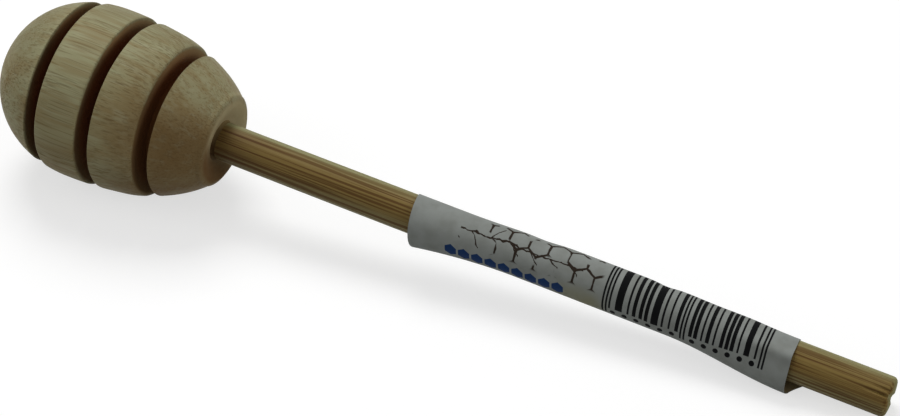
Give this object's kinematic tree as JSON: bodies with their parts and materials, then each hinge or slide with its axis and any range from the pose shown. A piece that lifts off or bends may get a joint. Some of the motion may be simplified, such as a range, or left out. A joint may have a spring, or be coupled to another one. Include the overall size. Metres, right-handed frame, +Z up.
{
  "type": "honey dipper",
  "caption": "Small honey dipper: grooved egg-shaped wooden head glued on a thin round bamboo stick with a wrapped paper label.",
  "frame": {"origin": "on the table under the middle of the dipper as it lies: centre of its box in X and Y, and the table at z = 0", "axes": "+X along the dipper from the head to the free end of the stick, seen from above; +Z up; the stick slopes down to its free end by 4.9 degrees"},
  "size_m": [0.1447, 0.0274, 0.0277],
  "materials": {
    "head_wood": "turned and sanded pale wood, unsealed, with scorched brown groove walls",
    "bamboo": "sanded bamboo with fine lengthwise fibres",
    "glue": "dried wood glue",
    "label_paper": "uncoated white paper with thin ink"
  },
  "bodies": {
    "root": {"dipper_head": "head_wood", "stick": "bamboo", "socket_glue": "glue", "paper_label": "label_paper"}
  },
  "joints": []
}
